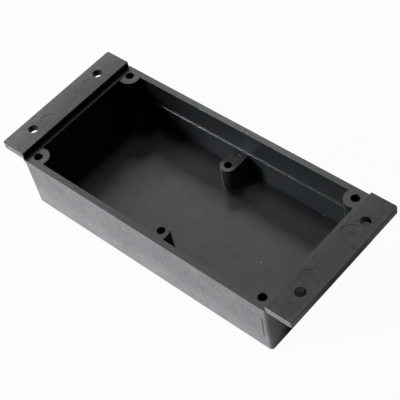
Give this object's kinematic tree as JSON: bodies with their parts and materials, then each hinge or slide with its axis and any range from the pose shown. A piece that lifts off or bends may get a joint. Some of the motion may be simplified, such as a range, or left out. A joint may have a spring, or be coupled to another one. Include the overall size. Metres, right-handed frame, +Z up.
{
  "type": "flanged project box base",
  "caption": "Open moulded tray with a fixing flange at each end, screw bosses in its corners and low circuit board posts half way along.",
  "frame": {"origin": "on the resting face, under the middle of the box", "axes": "+X along the length from flange to flange, +Y across, +Z up out of the open mouth"},
  "size_m": [0.119, 0.05, 0.023],
  "materials": {
    "moulded_plastic": "black ABS with a fine satin mould texture, light scuffs and ejector pin marks"
  },
  "bodies": {
    "root": {"housing": "moulded_plastic"}
  },
  "joints": []
}
